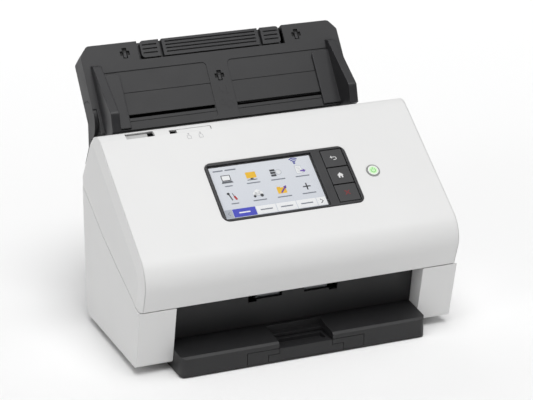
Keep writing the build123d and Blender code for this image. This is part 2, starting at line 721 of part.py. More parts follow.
def guide_blade():
    """Right paper guide: upright blade, foot plate and the tongue through the slot."""
    bend = (9.5, 27.2)
    tip = (62.0, 6.5)
    low = [(0.6, 0.3), (GUIDE_FOOT_S, 2.5), (GUIDE_FOOT_S, 21.2)]
    side = region(*low, bend, tip, (65.0, 0.3))
    for spot, radius in ((bend, 4.0), (tip, 2.0)):
        side = corner_round(side, spot, radius)
    corner = TRAY.from_local_coords(Vector(GUIDE_X[0], 0, 0))
    across = Plane(origin=corner, x_dir=TRAY.y_dir, z_dir=(1, 0, 0))
    blade = extrude(across * side, amount=GUIDE_X[1] - GUIDE_X[0], dir=(1, 0, 0))
    foot = RectangleRounded(34, 110, 4)
    plate = extrude(TRAY.offset(-0.4) * Pos(112, -0.2) * foot, amount=2.0, dir=TRAY.z_dir)
    plate &= block((90, 112.2), (2, 60), (-2, 4), TRAY)
    blade += plate
    return blade + block((97, 110), TONGUE_S, (-3.5, 0), TRAY)


def guide_right():
    arm = block((97, 110), (SLOT_S[0] + 0.2, 15.0), (-6.3, -3.3), TRAY)
    return guide_blade() + arm + rack(PINION_S - MODULE * PINION_TEETH / 2, 1)


def guide_left():
    deep = (-9.6, -6.7)
    post = block((97, 110), TONGUE_S, (deep[0], -3.3), TRAY)
    bridge = block((97, 110), (SLOT_S[0] + 0.2, PINION_S + 9.5), deep, TRAY)
    riser = block((97, 110), (PINION_S + 7.2, PINION_S + 9.5), (deep[0], -3.3), TRAY)
    toothed = rack(PINION_S + MODULE * PINION_TEETH / 2, -1)
    return mirror(guide_blade() + post + bridge + riser + toothed, about=Plane.YZ)


def extension_outer():
    """U-shaped extension; its two finger grips stand either side of the inner one."""
    plate = block((-70, 70), (36.5, TRAY_TOP), (-7.4, -5.6), TRAY)
    grip = Pos(59.75, (GRIP_S + TRAY_TOP) / 2) * RectangleRounded(18.5, TRAY_TOP - GRIP_S, 3.5)
    grip += Pos(54, (GRIP_S + TRAY_TOP) / 2) * Rectangle(7, TRAY_TOP - GRIP_S)
    rail = extrude(TRAY.offset(-7.4) * grip, amount=6.6, dir=TRAY.z_dir)
    for k in range(3):
        s = 72.4 + 3.9 * k
        rail -= block((53, 67), (s - GROOVE / 2, s + GROOVE / 2), (-2.0, 1), TRAY)
    return plate + both_sides(rail)


def extension_inner():
    plate = block((-47, 47), (38, TRAY_TOP), (-5.2, -3.4), TRAY)
    head = block((-47.5, 47.5), (GRIP_S, TRAY_TOP), (-5.2, -0.8), TRAY)
    for k in range(4):
        s = 71.6 + 3.3 * k
        head -= block((-44.5, 44.5), (s - GROOVE / 2, s + GROOVE / 2), (-2.0, 1), TRAY)
    return plate + head


def all_parts():
    feed = path_point(FEED_Q, drive_n(DRIVE_R))
    exit_spot = path_point(EXIT_Q, drive_n(DRIVE_R))
    right_side = side_cover()
    right_panel = cover_side()
    right_pin = cover_pin()
    right_tray_pin = tray_pin()
    parts = {
        "base_pan": base_pan(),
        "side_cover_right": right_side,
        "side_cover_left": mirror(right_side, about=Plane.YZ),
        "cover_pin_right": right_pin,
        "cover_pin_left": mirror(right_pin, about=Plane.YZ),
        "rear_housing": rear_housing(),
        "tray_pin_right": right_tray_pin,
        "tray_pin_left": mirror(right_tray_pin, about=Plane.YZ),
        "hopper_floor": hopper_floor(),
        "exit_wall": exit_wall(),
        "lower_guide_plate": lower_guide(),
        "lower_scan_unit": lower_scan_unit(),
        "lower_scan_glass": scan_glass((-1.9, -0.1)),
        "main_board": main_board(),
        "feed_motor": feed_motor(),
        "motor_pulley": motor_pulley(),
        "motor_belt": belt_between(MOTOR_SPOT, feed, (-110, -106)),
        "transfer_belt": belt_between(feed, exit_spot, (-114.2, -110.6)),
        "feed_shaft": drive_shaft(FEED_Q, (-114.2, -105.6)),
        "feed_roller_right": drive_roller(FEED_Q, (18, 34)),
        "feed_roller_left": drive_roller(FEED_Q, (-34, -18)),
        "exit_shaft": drive_shaft(EXIT_Q, (-114.2, -110.4)),
        "exit_roller_right": drive_roller(EXIT_Q, (11.5, 33.5)),
        "exit_roller_left": drive_roller(EXIT_Q, (-33.5, -11.5)),
        "separation_roller": separation_roller(),
        "power_jack": power_jack(),
        "usb_port": usb_port(),
        "foot_front_left": rubber_foot(-132, -62),
        "foot_front_right": rubber_foot(132, -62),
        "foot_rear_left": rubber_foot(-112, 92),
        "foot_rear_right": rubber_foot(112, 92),
        "output_tray": output_tray(),
        "output_middle": output_middle(),
        "output_inner": output_inner(),
        "cover_skin": cover_skin(),
        "cover_side_right": right_panel,
        "cover_side_left": mirror(right_panel, about=Plane.YZ),
        "upper_guide_plate": upper_guide(),
        "upper_scan_unit": upper_scan_unit(),
        "upper_scan_glass": scan_glass((PAPER_GAP + 0.1, PAPER_GAP + 1.9)),
        "feed_pinch_rollers": pinch_rollers(FEED_Q),
        "exit_pinch_rollers": pinch_rollers(EXIT_Q),
        "pickup_roller": pickup_roller(),
        "panel_bezel": panel_bezel(),
        "display_window": display_window(),
        "lcd_module": lcd_module(),
        "back_button": panel_button("back"),
        "home_button": panel_button("home"),
        "stop_button": panel_button("stop"),
        "power_button": power_button(),
        "power_ring": power_ring(),
        "release_lever": release_lever(),
        "feed_selector": feed_selector(),
        "tray_plate": tray_plate(),
        "tray_shell": tray_shell(),
        "guide_left": guide_left(),
        "guide_right": guide_right(),
        "guide_pinion": guide_pinion(),
        "tray_extension_outer": extension_outer(),
        "tray_extension_inner": extension_inner(),
    }
    return parts


def main():
    parts = all_parts()
    boxes = [part.bounding_box() for part in parts.values()]
    low = min(box.min.Y for box in boxes)
    high = max(box.max.Y for box in boxes)
    shift = Pos(0, -(low + high) / 2, 0)
    for name, part in parts.items():
        export_step(shift * part, f"parts/{name}.step")


main()
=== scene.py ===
import math
import bpy
from mathutils import Matrix, Vector


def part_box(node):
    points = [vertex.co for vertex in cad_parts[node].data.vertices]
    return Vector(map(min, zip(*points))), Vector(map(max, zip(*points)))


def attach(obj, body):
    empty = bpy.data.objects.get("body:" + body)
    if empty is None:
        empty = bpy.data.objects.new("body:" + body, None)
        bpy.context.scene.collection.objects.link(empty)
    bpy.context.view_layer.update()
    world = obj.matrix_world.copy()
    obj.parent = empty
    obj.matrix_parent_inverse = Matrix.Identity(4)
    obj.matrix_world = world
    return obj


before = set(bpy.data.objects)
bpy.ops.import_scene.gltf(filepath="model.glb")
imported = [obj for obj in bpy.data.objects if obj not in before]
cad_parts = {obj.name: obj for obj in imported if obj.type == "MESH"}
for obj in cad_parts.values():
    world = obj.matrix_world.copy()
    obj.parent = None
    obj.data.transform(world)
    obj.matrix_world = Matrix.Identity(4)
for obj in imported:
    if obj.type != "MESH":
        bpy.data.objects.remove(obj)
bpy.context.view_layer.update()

MM = 0.001

# ---------------------------------------------------------------- frames

SHIFT_Y = -14.427
SLOPE_DEG = 35.8
TRAY_DEG = 53.6
SLOPE_ORIGIN = (0.0, 0.0, 179.8)
TRAY_ORIGIN = (0.0, 68.1, 167.3)


def lean_frame(origin, degrees):
    """Frame lying on a sloping face: x across, y up the slope, z out of the face."""
    c, s = math.cos(math.radians(degrees)), math.sin(math.radians(degrees))
    turn = Matrix(((1, 0, 0), (0, c, -s), (0, s, c))).to_4x4()
    spot = Vector((origin[0], origin[1] + SHIFT_Y, origin[2])) * MM
    return Matrix.Translation(spot) @ turn


SLOPE = lean_frame(SLOPE_ORIGIN, SLOPE_DEG)
TRAY = lean_frame(TRAY_ORIGIN, TRAY_DEG)
REAR_WALL_Y = 108.0
REAR = Matrix(((-1, 0, 0, 0), (0, 0, 1, (REAR_WALL_Y + SHIFT_Y) * MM), (0, 1, 0, 0), (0, 0, 0, 1)))


# ---------------------------------------------------------------- materials

MOTTLE_SCALE = 18.0
GLOSS_SCALE = 45.0
GRAIN_STRENGTH = 0.6
BEVEL_SAMPLES = 4
SCRATCH_STRETCH = (2500, 60, 60)
SCRATCH_DEPTH = 0.00001
SCREEN_GLOW = 0.06
SCREEN_LOW_TINT = (0.66, 0.69, 0.75, 1)
SCREEN_HIGH_TINT = (0.72, 0.745, 0.79, 1)


def new_material(name, color, roughness, **sockets):
    mat = bpy.data.materials.new(name)
    mat.use_nodes = True
    shader = mat.node_tree.nodes["Principled BSDF"]
    shader.inputs["Base Color"].default_value = (*color, 1)
    shader.inputs["Roughness"].default_value = roughness
    for key, value in sockets.items():
        shader.inputs[key.replace("_", " ")].default_value = value
    return mat, mat.node_tree, shader


def object_coords(tree):
    return tree.nodes.new("ShaderNodeTexCoord").outputs["Object"]


def noise(tree, coords, scale, detail=2.0):
    node = tree.nodes.new("ShaderNodeTexNoise")
    node.inputs["Scale"].default_value = scale
    node.inputs["Detail"].default_value = detail
    tree.links.new(coords, node.inputs["Vector"])
    return node.outputs["Fac"]


def ramp(tree, value, low, high, color_low, color_high):
    node = tree.nodes.new("ShaderNodeValToRGB")
    first, last = node.color_ramp.elements
    first.position, last.position = low, high
    first.color, last.color = color_low, color_high
    tree.links.new(value, node.inputs["Fac"])
    return node.outputs["Color"]


def grey(level):
    return (level, level, level, 1)


def moulded(name, color, roughness, grain=1800.0, depth=0.00002, mottle=0.04, edge=0.0004, **sockets):
    """Moulded plastic: fine spark-eroded grain, faint mottling, softened edges."""
    mat, tree, shader = new_material(name, color, roughness, **sockets)
    coords = object_coords(tree)
    low = tuple(c * (1 - mottle) for c in color) + (1,)
    high = tuple(min(1.0, c * (1 + mottle)) for c in color) + (1,)
    tint = ramp(tree, noise(tree, coords, MOTTLE_SCALE, 3.0), 0.3, 0.7, low, high)
    tree.links.new(tint, shader.inputs["Base Color"])
    gloss = noise(tree, coords, GLOSS_SCALE, 3.0)
    rough = ramp(tree, gloss, 0.25, 0.75, grey(roughness - 0.04), grey(roughness + 0.05))
    tree.links.new(rough, shader.inputs["Roughness"])
    bump = tree.nodes.new("ShaderNodeBump")
    bump.inputs["Strength"].default_value = GRAIN_STRENGTH
    bump.inputs["Distance"].default_value = depth
    tree.links.new(noise(tree, coords, grain, 2.0), bump.inputs["Height"])
    bevel = tree.nodes.new("ShaderNodeBevel")
    bevel.samples = BEVEL_SAMPLES
    bevel.inputs["Radius"].default_value = edge
    tree.links.new(bevel.outputs["Normal"], bump.inputs["Normal"])
    tree.links.new(bump.outputs["Normal"], shader.inputs["Normal"])
    return mat


def brushed(name, color, roughness):
    """Turned steel: fine scratches crowded along x, so that they ring the shafts."""
    mat, tree, shader = new_material(name, color, roughness, Metallic=1.0)
    coords = object_coords(tree)
    stretch = tree.nodes.new("ShaderNodeMapping")
    stretch.inputs["Scale"].default_value = SCRATCH_STRETCH
    tree.links.new(coords, stretch.inputs["Vector"])
    grain = noise(tree, stretch.outputs["Vector"], 1.0, 3.0)
    rough = ramp(tree, grain, 0.2, 0.8, grey(roughness - 0.08), grey(roughness + 0.12))
    tree.links.new(rough, shader.inputs["Roughness"])
    bump = tree.nodes.new("ShaderNodeBump")
    bump.inputs["Distance"].default_value = SCRATCH_DEPTH
    tree.links.new(grain, bump.inputs["Height"])
    tree.links.new(bump.outputs["Normal"], shader.inputs["Normal"])
    return mat


def glowing(name, color, strength, roughness=0.4):
    """Printed or back-lit mark with a faint light of its own."""
    mat, _, shader = new_material(name, color, roughness)
    shader.inputs["Emission Color"].default_value = (*color, 1)
    shader.inputs["Emission Strength"].default_value = strength
    return mat


def display_picture(name):
    """Back-lit screen: a pale field that deepens slightly towards its lower edge."""
    mat, tree, shader = new_material(name, (0.72, 0.77, 0.85), 0.3)
    coords = object_coords(tree)
    split = tree.nodes.new("ShaderNodeSeparateXYZ")
    tree.links.new(coords, split.inputs["Vector"])
    span = tree.nodes.new("ShaderNodeMapRange")
    low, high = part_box("lcd_module")
    span.inputs["From Min"].default_value = low[2]
    span.inputs["From Max"].default_value = high[2]
    tree.links.new(split.outputs["Z"], span.inputs["Value"])
    tint = ramp(tree, span.outputs["Result"], 0.0, 1.0, SCREEN_LOW_TINT, SCREEN_HIGH_TINT)
    tree.links.new(tint, shader.inputs["Base Color"])
    tree.links.new(tint, shader.inputs["Emission Color"])
    shader.inputs["Emission Strength"].default_value = SCREEN_GLOW
    return mat


def window_material():
    """Touch window: nearly clear, dark and glossy."""
    mat, _, shader = new_material("touch_window", (0.01, 0.01, 0.012), 0.08)
    shader.inputs["Alpha"].default_value = 0.05
    return mat


def scan_glass_material():
    mat, _, shader = new_material("scan_glass", (0.25, 0.3, 0.32), 0.05)
    shader.inputs["Transmission Weight"].default_value = 0.6
    return mat


M = {
    "shell": moulded("shell_white", (0.74, 0.74, 0.737), 0.46, depth=0.000012, mottle=0.008, edge=0.0006),
    # The release lever gets a darker white than the shell: painted shade for the floor of the recessed
    # scoop.
    "scoop_painted_shade": moulded("lever_painted_scoop_shade", (0.46, 0.46, 0.457), 0.4, depth=0.00001, mottle=0.01, edge=0.0012),
    "charcoal": moulded("tray_charcoal", (0.0255, 0.0255, 0.027), 0.5, depth=0.00003, mottle=0.05,
                        edge=0.0006),
    "guide": moulded("guide_charcoal", (0.022, 0.022, 0.024), 0.4, depth=0.00003, mottle=0.05, edge=0.0014),
    "grip": moulded("grip_charcoal", (0.025, 0.025, 0.027), 0.42, depth=0.00002, mottle=0.05, edge=0.0005),
    "dark": moulded("dark_moulding", (0.014, 0.014, 0.015), 0.5, depth=0.00003, mottle=0.06),
    "bezel": moulded("bezel_dark", (0.024, 0.024, 0.026), 0.3, depth=0.000008, mottle=0.03),
    "key": moulded("key_dark", (0.026, 0.026, 0.028), 0.42, depth=0.00001, mottle=0.04),
    "rubber": moulded("foot_rubber", (0.03, 0.03, 0.032), 0.8, grain=900, depth=0.00004, mottle=0.08),
    "roller": moulded("roller_rubber", (0.20, 0.21, 0.22), 0.72, grain=1200, depth=0.00004, mottle=0.08),
    "grey": moulded("grey_moulding", (0.28, 0.28, 0.30), 0.5, mottle=0.04),
    "case": moulded("motor_case", (0.30, 0.30, 0.32), 0.38, mottle=0.03, Metallic=0.8),
    "board": moulded("circuit_board", (0.02, 0.12, 0.05), 0.45, grain=600, mottle=0.1),
    "steel": brushed("turned_steel", (0.62, 0.62, 0.64), 0.28),
    "cap": moulded("power_cap", (0.82, 0.84, 0.81), 0.3, depth=0.000005, mottle=0.01),
    "ring": moulded("power_rim", (0.30, 0.31, 0.30), 0.3, depth=0.000005, mottle=0.02),
    "screen": display_picture("screen_field"),
    "white": glowing("mark_white", (0.62, 0.62, 0.62), 0.1),
    "red": glowing("mark_red", (0.16, 0.008, 0.010), 0.1),
    "green": glowing("mark_green", (0.13, 0.46, 0.10), 0.25),
    "mint": glowing("mark_mint", (0.55, 0.80, 0.48), 0.1),
    "mark": moulded("mark_grey", (0.36, 0.36, 0.37), 0.5, depth=0.000005, mottle=0.02),
    # Near-black: painted shade in the latch holes, cooling slots and screw and cross recesses; also the real
    # dark parting lines on the rear wall.
    "hole_shade_and_joint": moulded("hole_shade_and_seam_black", (0.006, 0.006, 0.006), 0.7, mottle=0.05),
    "clip": moulded("latch_clip", (0.03, 0.03, 0.032), 0.45, mottle=0.05),
    "sign": moulded("spine_sign", (0.026, 0.026, 0.028), 0.4, mottle=0.05),
    "window": window_material(),
    "glass": scan_glass_material(),
}

NODE_LOOK = {
    "shell": ("side_cover_right", "side_cover_left", "cover_skin", "cover_side_right", "cover_side_left",
              "feed_selector"),
    # Release lever: darker white as painted shade in the scoop.
    "scoop_painted_shade": ("release_lever",),
    "charcoal": ("tray_plate", "tray_shell", "hopper_floor"),
    "guide": ("guide_left", "guide_right"),
    "grip": ("tray_extension_outer", "tray_extension_inner"),
    "dark": ("rear_housing", "exit_wall", "lower_guide_plate", "upper_guide_plate", "output_tray",
             "output_middle", "output_inner", "base_pan", "lower_scan_unit", "upper_scan_unit",
             "power_jack", "usb_port", "tray_pin_right", "tray_pin_left"),
    "bezel": ("panel_bezel",),
    "key": ("back_button", "home_button", "stop_button"),
    "rubber": ("foot_front_left", "foot_front_right", "foot_rear_left", "foot_rear_right",
               "motor_belt", "transfer_belt"),
    "roller": ("feed_roller_right", "feed_roller_left", "exit_roller_right", "exit_roller_left",
               "separation_roller", "pickup_roller"),
    "grey": ("motor_pulley", "feed_pinch_rollers", "exit_pinch_rollers", "guide_pinion"),
    "case": ("feed_motor",),
    "board": ("main_board",),
    "steel": ("cover_pin_right", "cover_pin_left", "feed_shaft", "exit_shaft"),
    "glass": ("lower_scan_glass", "upper_scan_glass"),
    "window": ("display_window",),
    "screen": ("lcd_module",),
    "cap": ("power_button",),
    "ring": ("power_ring",),
}


def dress_nodes():
    """Give every solid of the model its finish."""
    for look, names in NODE_LOOK.items():
        for name in names:
            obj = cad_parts[name]
            if obj.material_slots:
                for slot in obj.material_slots:
                    slot.material = M[look]
            else:
                obj.data.materials.append(M[look])


dress_nodes()

# ---------------------------------------------------------------- small pieces

def make_piece(name, place, verts, faces, look, body):
    """Mesh from millimetre coordinates in the given frame."""
    mesh = bpy.data.meshes.new(name)
    mesh.from_pydata([place @ (Vector(v) * MM) for v in verts], [], faces)
    mesh.update()
    obj = bpy.data.objects.new(name, mesh)
    bpy.context.scene.collection.objects.link(obj)
    obj.data.materials.append(M[look])
    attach(obj, body)
    return obj


def slab_mesh(outlines, z0, z1):
    """Closed flat plates, one for each outline, between two heights."""
    verts, faces = [], []
    for outline in outlines:
        area = sum(a[0] * b[1] - b[0] * a[1] for a, b in zip(outline, outline[1:] + outline[:1]))
        ring = outline if area > 0 else outline[::-1]
        n, start = len(ring), len(verts)
        verts += [(x, y, z0) for x, y in ring] + [(x, y, z1) for x, y in ring]
        faces.append(tuple(start + n + k for k in range(n)))
        faces.append(tuple(start + k for k in reversed(range(n))))
        for k in range(n):
            nxt = (k + 1) % n
            faces.append((start + k, start + nxt, start + n + nxt, start + n + k))
    return verts, faces


def box_outline(x, y):
    return [(x[0], y[0]), (x[1], y[0]), (x[1], y[1]), (x[0], y[1])]


def round_box(centre, size, radius, steps=4):
    """Outline of a rectangle with rounded corners."""
    cx, cy = centre
    hx, hy = size[0] / 2 - radius, size[1] / 2 - radius
    ring = []
    for qx, qy, start in ((1, 1, 0), (-1, 1, 90), (-1, -1, 180), (1, -1, 270)):
        for k in range(steps + 1):
            a = math.radians(start + 90 * k / steps)
            ring.append((cx + qx * hx + radius * math.cos(a), cy + qy * hy + radius * math.sin(a)))
    return ring


def cross_outlines(centre, reach, half):
    """Two bars that make an upright cross."""
    cx, cy = centre
    return [box_outline((cx - reach, cx + reach), (cy - half, cy + half)),
            box_outline((cx - half, cx + half), (cy - reach, cy + reach))]


def disc(centre, radius, steps=24):
    return [(centre[0] + radius * math.cos(2 * math.pi * k / steps),
             centre[1] + radius * math.sin(2 * math.pi * k / steps)) for k in range(steps)]


def stroke(points, width):
    """Outline of a line of even width through the points."""
    left, right = [], []
    for k, p in enumerate(points):
        a = points[max(k - 1, 0)]
        b = points[min(k + 1, len(points) - 1)]
        length = math.dist(a, b)
        nx, ny = -(b[1] - a[1]) / length, (b[0] - a[0]) / length
        left.append((p[0] + nx * width / 2, p[1] + ny * width / 2))
        right.append((p[0] - nx * width / 2, p[1] - ny * width / 2))
    return left + right[::-1]


def arc(centre, radius, start, end, steps=14):
    """Points along an arc, angles in degrees."""
    out = []
    for k in range(steps + 1):
        a = math.radians(start + (end - start) * k / steps)
        out.append((centre[0] + radius * math.cos(a), centre[1] + radius * math.sin(a)))
    return out


def flat_mark(name, place, outlines, level, look, body, thick=0.05):
    """Thin plates of the given outlines, standing on a level of the frame."""
    verts, faces = slab_mesh(outlines, level, level + thick)
    return make_piece(name, place, verts, faces, look, body)


# ---------------------------------------------------------------- screen content

PALETTE = {
    "ink": (0.035, 0.038, 0.045), "paper": (0.86, 0.87, 0.88), "yellow": (0.85, 0.50, 0.02),
    "navy": (0.02, 0.03, 0.30), "blue": (0.05, 0.06, 0.52), "violet": (0.14, 0.05, 0.40),
    "crimson": (0.45, 0.02, 0.02), "mist": (0.42, 0.45, 0.50), "label": (0.19, 0.21, 0.25),
    "tab": (0.62, 0.66, 0.73), "slate": (0.10, 0.11, 0.13),
}
for tone, rgb in PALETTE.items():
    M["lcd_" + tone] = glowing("screen_" + tone, rgb, SCREEN_GLOW, 0.35)

LCD_X = (-59.5, 35.5)
LCD_BOTTOM = -90.9
LCD_LEVEL = -1.16
LCD_LAYER = 0.03
LCD_THICK = 0.02
ICON_COLUMNS = (-47.0, -23.8, -0.6, 22.6)
ICON_ROWS = (-50.5, -69.0)
LABEL_HALVES = (3.6, 6.4, 6.8, 6.6)
LABEL_DROP = 7.2
CLOCK_Y = -41.0
SIGNAL_X = 19.6
TAB_STARTS = (-30.4, -11.4, 7.6)
TAB_WIDTH = 18.4


def lcd(name, outlines, tone, layer=0):
    """Part of the picture on the display, on its own thin layer."""
    level = LCD_LEVEL + LCD_LAYER * layer
    flat_mark("screen_" + name, SLOPE, outlines, level, "lcd_" + tone, "cover", LCD_THICK)


def icon_laptop(cx, cy):
    lcd("laptop_frame", [round_box((cx, cy + 1.4), (8.6, 6.2), 0.6)], "ink", 0)
    lcd("laptop_glass", [box_outline((cx - 3.6, cx + 3.6), (cy - 0.9, cy + 3.8))], "paper", 1)
    base = [(cx - 4.4, cy - 2.0), (cx + 4.4, cy - 2.0), (cx + 5.6, cy - 4.0), (cx - 5.6, cy - 4.0)]
    lcd("laptop_base", [base], "slate", 1)


def icon_monitor(cx, cy):
    lcd("monitor_glass", [round_box((cx, cy + 1.2), (9.4, 6.4), 0.5)], "yellow", 0)
    lcd("monitor_stand", [box_outline((cx - 1.4, cx + 1.4), (cy - 3.2, cy - 2.0)),
                          box_outline((cx - 4.6, cx + 4.6), (cy - 4.2, cy - 3.4))], "ink", 0)


def icon_server(cx, cy):
    rows = [box_outline((cx - 5.0, cx - 0.2), (cy - 3.6 + 2.7 * k, cy - 1.5 + 2.7 * k)) for k in range(3)]
    lcd("server_rack", rows, "ink", 0)
    lcd("server_globe", [disc((cx + 2.6, cy + 0.4), 2.9)], "mist", 0)
    lcd("server_globe_face", [disc((cx + 2.6, cy + 0.4), 2.4)], "paper", 1)
    bands = [box_outline((cx + 0.4, cx + 4.8), (cy + 0.2 + 1.3 * k, cy + 0.5 + 1.3 * k)) for k in (-1, 0, 1)]
    lcd("server_globe_bands", bands, "mist", 2)


def icon_flow(cx, cy):
    lcd("flow_sheet_edge", [box_outline((cx - 4.4, cx + 1.6), (cy - 4.0, cy + 4.2))], "mist", 0)
    lcd("flow_sheet", [box_outline((cx - 4.1, cx + 1.3), (cy - 3.7, cy + 3.9))], "paper", 1)
    lines = [box_outline((cx - 3.2, cx + 0.4), (cy - 2.2 + 1.5 * k, cy - 1.9 + 1.5 * k)) for k in range(4)]
    lcd("flow_lines", lines, "mist", 2)
    arrow = [(cx - 0.4, cy - 2.4), (cx + 2.4, cy - 2.4), (cx + 2.4, cy - 3.6), (cx + 4.8, cy - 1.7),
             (cx + 2.4, cy + 0.2), (cx + 2.4, cy - 1.0), (cx - 0.4, cy - 1.0)]
    lcd("flow_arrow", [arrow], "violet", 3)


def icon_tools(cx, cy):
    spanner = stroke([(cx - 3.2, cy + 3.8), (cx - 1.2, cy - 3.6)], 1.1)
    lcd("tools_dark", [spanner, disc((cx - 3.2, cy + 3.4), 1.3)], "ink", 0)
    lcd("tools_shaft", [stroke([(cx + 0.4, cy + 3.6), (cx + 1.6, cy + 0.2)], 0.6)], "ink", 0)
    lcd("tools_grip", [stroke([(cx + 1.5, cy + 0.4), (cx + 2.9, cy - 3.6)], 1.9)], "crimson", 1)


def icon_cloud(cx, cy):
    puffs = [disc((cx - 2.4, cy - 0.2), 2.0), disc((cx, cy + 1.4), 2.6), disc((cx + 2.6, cy - 0.1), 2.1),
             round_box((cx + 0.1, cy - 1.3), (7.6, 2.0), 0.9)]
    lcd("cloud_shade", [[(x, y - 0.4) for x, y in puff] for puff in puffs], "mist", 0)
    lcd("cloud", puffs, "paper", 1)
    lcd("cloud_gear", [disc((cx + 3.2, cy - 2.6), 1.6), disc((cx - 3.4, cy - 2.8), 1.2)], "ink", 2)


def icon_folder(cx, cy):
    lcd("folder", [round_box((cx - 0.6, cy - 0.6), (8.4, 6.2), 0.5),
                   box_outline((cx - 4.6, cx - 1.2), (cy + 2.2, cy + 3.4))], "yellow", 0)
    lcd("folder_arrow", [stroke([(cx - 1.6, cy - 3.0), (cx + 3.6, cy + 2.6)], 1.4)], "violet", 1)
    lcd("folder_head", [[(cx + 4.8, cy + 4.0), (cx + 1.6, cy + 3.2), (cx + 4.0, cy + 0.6)]], "violet", 1)


def icon_plus(cx, cy):
    lcd("plus", cross_outlines((cx, cy), 3.6, 0.6), "ink", 0)


def draw_tabs():
    """Bar of tabs along the lower edge of the display."""
    tab_y = (LCD_BOTTOM + 0.4, LCD_BOTTOM + 8.9)
    mid = (tab_y[0] + tab_y[1]) / 2
    lcd("tab_previous", [box_outline((-59.3, -52.6), tab_y)], "mist", 1)
    previous = [(-55.0, mid + 1.8), (-57.0, mid), (-55.0, mid - 1.8)]
    lcd("tab_previous_mark", [stroke(previous, 0.6)], "label", 2)
    lcd("tab_active", [box_outline((-52.2, -31.0), tab_y)], "blue", 1)
    lcd("tab_active_bar", [round_box((-41.6, mid), (10.5, 1.3), 0.6)], "paper", 2)
    lcd("tabs", [box_outline((x, x + TAB_WIDTH), tab_y) for x in TAB_STARTS], "paper", 1)
    bars = [round_box((x + TAB_WIDTH / 2, mid), (11.5, 1.2), 0.55) for x in TAB_STARTS]
    lcd("tab_bars", bars, "label", 2)
    lcd("tab_next", [box_outline((26.6, 35.3), tab_y)], "paper", 1)
    lcd("tab_next_mark", [stroke([(29.8, mid + 2.2), (32.2, mid), (29.8, mid - 2.2)], 0.8)], "ink", 2)


def draw_screen():
    """Two rows of icons with plain bars for their names, a top line and the tabs."""
    upper = (icon_laptop, icon_monitor, icon_server, icon_flow)
    lower = (icon_tools, icon_cloud, icon_folder, icon_plus)
    labels = []
    for icons, cy in zip((upper, lower), ICON_ROWS):
        for icon, cx, half in zip(icons, ICON_COLUMNS, LABEL_HALVES):
            icon(cx, cy)
            labels.append(round_box((cx, cy - LABEL_DROP), (2 * half, 1.1), 0.5))
    lcd("labels", labels, "label", 0)
    lcd("clock_bars", [round_box((-52.0, CLOCK_Y), (9.5, 1.3), 0.6),
                       round_box((-40.5, CLOCK_Y), (10.5, 1.3), 0.6)], "label", 0)
    fans = [stroke(arc((SIGNAL_X, -43.6), r, 50, 130, 10), 1.0) for r in (2.2, 4.0, 5.8)]
    lcd("signal", fans + [disc((SIGNAL_X, -43.2), 1.0, 12)], "navy", 0)
    lcd("tab_bar", [box_outline(LCD_X, (LCD_BOTTOM, LCD_BOTTOM + 9.4))], "tab", 0)
    draw_tabs()


draw_screen()

# ---------------------------------------------------------------- key marks

KEY_TOP = 0.45
KEY_X = 56.5
KEY_T = {"back": -44.65, "home": -63.5, "stop": -82.2}
LINE = 0.6
POWER_SPOT = (88.5, -63.3)
POWER_FIELD_LEVEL = 0.69
POWER_MARK_LEVEL = 0.72


def key_mark(key, outlines, look):
    flat_mark(key + "_mark", SLOPE, outlines, KEY_TOP, look, key + "_button")


def draw_back_mark(x, y):
    """Arrow that turns back on itself."""
    turn = arc((x + 1.2, y - 0.2), 1.4, 80, -90, 12)
    bow = [(x - 2.0, y + 1.2), (x + 1.2, y + 1.2)] + turn + [(x - 0.4, y - 1.6)]
    head = [(x - 1.2, y + 2.5), (x - 2.6, y + 1.2), (x - 1.2, y - 0.1)]
    key_mark("back", [stroke(bow, LINE), stroke(head, LINE)], "white")


def draw_home_mark(x, y):
    """House with a doorway."""
    roof = [(x - 3.1, y + 0.1), (x, y + 3.0), (x + 3.1, y + 0.1)]
    walls = [(x - 2.1, y + 0.1), (x - 2.1, y - 2.6), (x - 0.7, y - 2.6), (x - 0.7, y - 0.8),
             (x + 0.7, y - 0.8), (x + 0.7, y - 2.6), (x + 2.1, y - 2.6), (x + 2.1, y + 0.1)]
    key_mark("home", [roof, walls], "white")


def draw_stop_mark(x, y, reach=2.2):
    """Diagonal cross."""
    rising = stroke([(x - reach, y - reach), (x + reach, y + reach)], 1.0)
    falling = stroke([(x - reach, y + reach), (x + reach, y - reach)], 1.0)
    key_mark("stop", [rising, falling], "red")


def draw_power_mark(x, y):
    """Open ring with a stem, on a tinted disc."""
    ring = stroke(arc((x, y), 2.1, 125, 415, 26), 0.7)
    stem = box_outline((x - 0.32, x + 0.32), (y + 0.4, y + 3.1))
    flat_mark("power_mark", SLOPE, [ring, stem], POWER_MARK_LEVEL, "green", "power_button")
    flat_mark("power_field", SLOPE, [disc((x, y), 3.9, 40)], POWER_FIELD_LEVEL, "mint",
              "power_button", 0.03)


def draw_keys():
    draw_back_mark(KEY_X, KEY_T["back"])
    draw_home_mark(KEY_X, KEY_T["home"])
    draw_stop_mark(KEY_X, KEY_T["stop"])
    draw_power_mark(*POWER_SPOT)


draw_keys()

# ---------------------------------------------------------------- marks and latches

FEED_MARK_X = (-66.0, -55.0)
LATCHES = ((-85.0, 74.0), (85.0, 74.0), (0.0, 42.4))
WELL_LEVEL = -1.58
CLIP_FOOT = -1.5


def sheet_mark(cx, cy, size):
    """Outline of an upright sheet with a folded top, drawn as one closed line."""
    w, h = size
    return stroke([(cx - w, cy - h), (cx + w, cy - h), (cx + w, cy + h * 0.4), (cx + w * 0.3, cy + h),
                   (cx - w, cy + h), (cx - w, cy - h + 0.1)], 0.35)


def draw_shell_marks():
    """Two small pictograms of a fed sheet below the selector."""
    for k, cx in enumerate(FEED_MARK_X):
        parts = [sheet_mark(cx, -1.8, (1.7, 1.9)), stroke([(cx, 0.4), (cx, 2.2)], 0.4),
                 stroke([(cx - 0.8, 1.4), (cx, 2.3), (cx + 0.8, 1.4)], 0.35)]
        flat_mark("feed_mark_%d" % k, SLOPE, parts, 0.0, "mark", "cover", 0.03)


